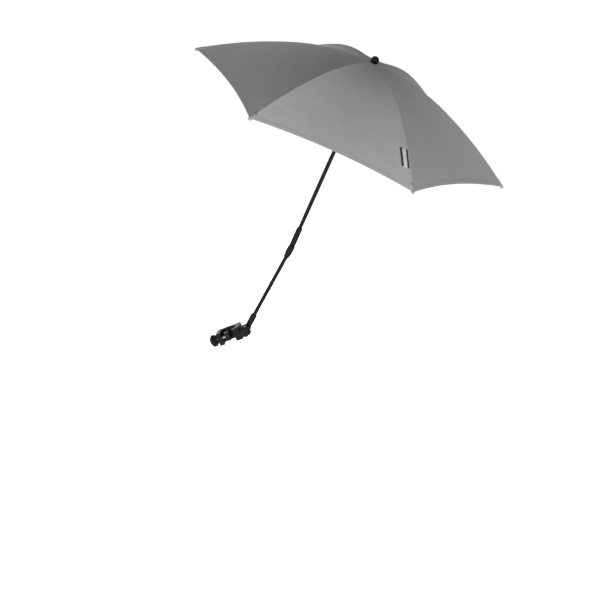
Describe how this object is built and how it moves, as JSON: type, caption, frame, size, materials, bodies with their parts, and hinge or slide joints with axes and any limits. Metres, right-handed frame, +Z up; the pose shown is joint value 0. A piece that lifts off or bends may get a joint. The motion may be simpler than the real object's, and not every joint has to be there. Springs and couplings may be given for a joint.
{
  "type": "pram parasol",
  "caption": "Folding pram parasol with a hexagonal fabric canopy on a thin pole, a tilt knuckle with a push button and a screw clamp for a frame tube.",
  "frame": {"origin": "middle of the clamp's bore, on the axis of the frame tube", "axes": "+Z up; the pole stands in the XZ plane and leans towards +X; +Y across it"},
  "size_m": [0.6827, 0.6424, 0.7174],
  "materials": {
    "grey_canvas": "matte woven",
    "black_tube": "satin",
    "black_plastic": "matte moulded",
    "bright_steel": "satin",
    "black_rubber": "matte"
  },
  "bodies": {
    "clamp": {"clamp_body": "black_plastic", "clamp_liner": "black_rubber", "swivel_bolt": "bright_steel", "swivel_washer": "bright_steel"},
    "clamp_pad": {"clamp_shoe": "black_plastic"},
    "clamp_screw": {"clamp_spindle": "bright_steel", "clamp_knob": "black_plastic"},
    "swivel_nut": {"swivel_knob": "black_plastic"},
    "lower_pole": {"shaft_foot": "black_plastic", "lower_shaft": "black_tube", "knuckle_fork": "black_plastic", "knuckle_pivot": "bright_steel", "tilt_spring": "bright_steel"},
    "tilt_release": {"tilt_button": "black_plastic"},
    "upper_pole": {"knuckle_tongue": "black_plastic", "upper_shaft": "black_tube", "crown_hub": "black_plastic", "crown_wire": "bright_steel", "finial_cap": "black_plastic"},
    "catch": {"runner_catch": "bright_steel"},
    "slider": {"runner": "black_plastic"},
    "rib_arm_1": {"rib_1": "black_tube", "rib_clip_1": "black_plastic", "rib_tip_1": "black_plastic", "canopy_panel_1": "grey_canvas"},
    "strut_1": {"stretcher_1": "black_tube"},
    "rib_arm_2": {"rib_2": "black_tube", "rib_clip_2": "black_plastic", "rib_tip_2": "black_plastic", "canopy_panel_2": "grey_canvas"},
    "strut_2": {"stretcher_2": "black_tube"},
    "rib_arm_3": {"rib_3": "black_tube", "rib_clip_3": "black_plastic", "rib_tip_3": "black_plastic", "canopy_panel_3": "grey_canvas"},
    "strut_3": {"stretcher_3": "black_tube"},
    "rib_arm_4": {"rib_4": "black_tube", "rib_clip_4": "black_plastic", "rib_tip_4": "black_plastic", "canopy_panel_4": "grey_canvas"},
    "strut_4": {"stretcher_4": "black_tube"},
    "rib_arm_5": {"rib_5": "black_tube", "rib_clip_5": "black_plastic", "rib_tip_5": "black_plastic", "canopy_panel_5": "grey_canvas"},
    "strut_5": {"stretcher_5": "black_tube"},
    "rib_arm_6": {"rib_6": "black_tube", "rib_clip_6": "black_plastic", "rib_tip_6": "black_plastic", "canopy_panel_6": "grey_canvas"},
    "strut_6": {"stretcher_6": "black_tube"}
  },
  "joints": [
    {"name": "screw_turn", "type": "hinge", "parent": "clamp_pad", "child": "clamp_screw", "pos_m": [0, 0, 0], "axis": [-0.9135, 0, -0.4067], "range_deg": [0, 1920]},
    {"name": "pad_slide", "type": "slide", "parent": "clamp", "child": "clamp_pad", "axis": [-0.9135, 0, -0.4067], "range_m": [0, 0.008]},
    {"name": "swivel_nut_turn", "type": "hinge", "parent": "clamp", "child": "swivel_nut", "pos_m": [0.03015, 0, 0.01342], "axis": [0, -1, 0], "range_deg": [0, 540]},
    {"name": "pole_swivel", "type": "hinge", "parent": "clamp", "child": "lower_pole", "pos_m": [0.03015, 0, 0.01342], "axis": [0, 1, 0], "range_deg": [-40, 60]},
    {"name": "pole_tilt", "type": "hinge", "parent": "lower_pole", "child": "upper_pole", "pos_m": [0.13358, 0, 0.21211], "axis": [0, 1, 0], "range_deg": [-85.5, 94.5]},
    {"name": "tilt_press", "type": "slide", "parent": "lower_pole", "child": "tilt_release", "axis": [0, 1, 0], "range_m": [0, 0.0014], "stiffness_N_per_m": 800, "springref_m": -0.001, "deforming": ["tilt_spring"]},
    {"name": "catch_press", "type": "slide", "parent": "upper_pole", "child": "catch", "axis": [0, -1, 0], "range_m": [0, 0.0028], "stiffness_N_per_m": 400, "springref_m": -0.001},
    {"name": "runner_slide", "type": "slide", "parent": "upper_pole", "child": "slider", "axis": [-0.3907, 0, -0.9205], "range_m": [0, 0.16482], "deforming": ["canopy_panel_1", "canopy_panel_2", "canopy_panel_3", "canopy_panel_4", "canopy_panel_5", "canopy_panel_6", "runner_catch"]},
    {"name": "rib_fold_1", "type": "hinge", "parent": "upper_pole", "child": "rib_arm_1", "pos_m": [0.32001, 0.01039, 0.63596], "axis": [-0.7972, 0.5, 0.3384], "range_deg": [0, 63]},
    {"name": "strut_fold_1", "type": "hinge", "parent": "rib_arm_1", "child": "strut_1", "pos_m": [0.36752, 0.11655, 0.59103], "axis": [-0.7972, 0.5, 0.3384], "range_deg": [-109.62, 0]},
    {"name": "rib_fold_2", "type": "hinge", "parent": "upper_pole", "child": "rib_arm_2", "pos_m": [0.30896, 0.01039, 0.64065], "axis": [-0.7972, -0.5, 0.3384], "range_deg": [0, 63]},
    {"name": "strut_fold_2", "type": "hinge", "parent": "rib_arm_2", "child": "strut_2", "pos_m": [0.24364, 0.11655, 0.64362], "axis": [-0.7972, -0.5, 0.3384], "range_deg": [-109.62, 0]},
    {"name": "rib_fold_3", "type": "hinge", "parent": "upper_pole", "child": "rib_arm_3", "pos_m": [0.30344, 0, 0.64299], "axis": [0, -1, 0], "range_deg": [0, 63]},
    {"name": "strut_fold_3", "type": "hinge", "parent": "rib_arm_3", "child": "strut_3", "pos_m": [0.1817, 0, 0.66991], "axis": [0, -1, 0], "range_deg": [-109.62, 0]},
    {"name": "rib_fold_4", "type": "hinge", "parent": "upper_pole", "child": "rib_arm_4", "pos_m": [0.30896, -0.01039, 0.64065], "axis": [0.7972, -0.5, -0.3384], "range_deg": [0, 63]},
    {"name": "strut_fold_4", "type": "hinge", "parent": "rib_arm_4", "child": "strut_4", "pos_m": [0.24364, -0.11655, 0.64362], "axis": [0.7972, -0.5, -0.3384], "range_deg": [-109.62, 0]},
    {"name": "rib_fold_5", "type": "hinge", "parent": "upper_pole", "child": "rib_arm_5", "pos_m": [0.32001, -0.01039, 0.63596], "axis": [0.7972, 0.5, -0.3384], "range_deg": [0, 63]},
    {"name": "strut_fold_5", "type": "hinge", "parent": "rib_arm_5", "child": "strut_5", "pos_m": [0.36752, -0.11655, 0.59103], "axis": [0.7972, 0.5, -0.3384], "range_deg": [-109.62, 0]},
    {"name": "rib_fold_6", "type": "hinge", "parent": "upper_pole", "child": "rib_arm_6", "pos_m": [0.32553, 0, 0.63362], "axis": [0, 1, 0], "range_deg": [0, 63]},
    {"name": "strut_fold_6", "type": "hinge", "parent": "rib_arm_6", "child": "strut_6", "pos_m": [0.42946, 0, 0.56474], "axis": [0, 1, 0], "range_deg": [-109.62, 0]}
  ],
  "couplings": [
    {"joint": "screw_turn", "follows": "pad_slide", "rad_per_m": 4188.8},
    {"joint": "rib_fold_1", "follows": "runner_slide", "rad_per_m": 6.6713},
    {"joint": "strut_fold_1", "follows": "runner_slide", "rad_per_m": -11.608},
    {"joint": "rib_fold_2", "follows": "runner_slide", "rad_per_m": 6.6713},
    {"joint": "strut_fold_2", "follows": "runner_slide", "rad_per_m": -11.608},
    {"joint": "rib_fold_3", "follows": "runner_slide", "rad_per_m": 6.6713},
    {"joint": "strut_fold_3", "follows": "runner_slide", "rad_per_m": -11.608},
    {"joint": "rib_fold_4", "follows": "runner_slide", "rad_per_m": 6.6713},
    {"joint": "strut_fold_4", "follows": "runner_slide", "rad_per_m": -11.608},
    {"joint": "rib_fold_5", "follows": "runner_slide", "rad_per_m": 6.6713},
    {"joint": "strut_fold_5", "follows": "runner_slide", "rad_per_m": -11.608},
    {"joint": "rib_fold_6", "follows": "runner_slide", "rad_per_m": 6.6713},
    {"joint": "strut_fold_6", "follows": "runner_slide", "rad_per_m": -11.608}
  ]
}
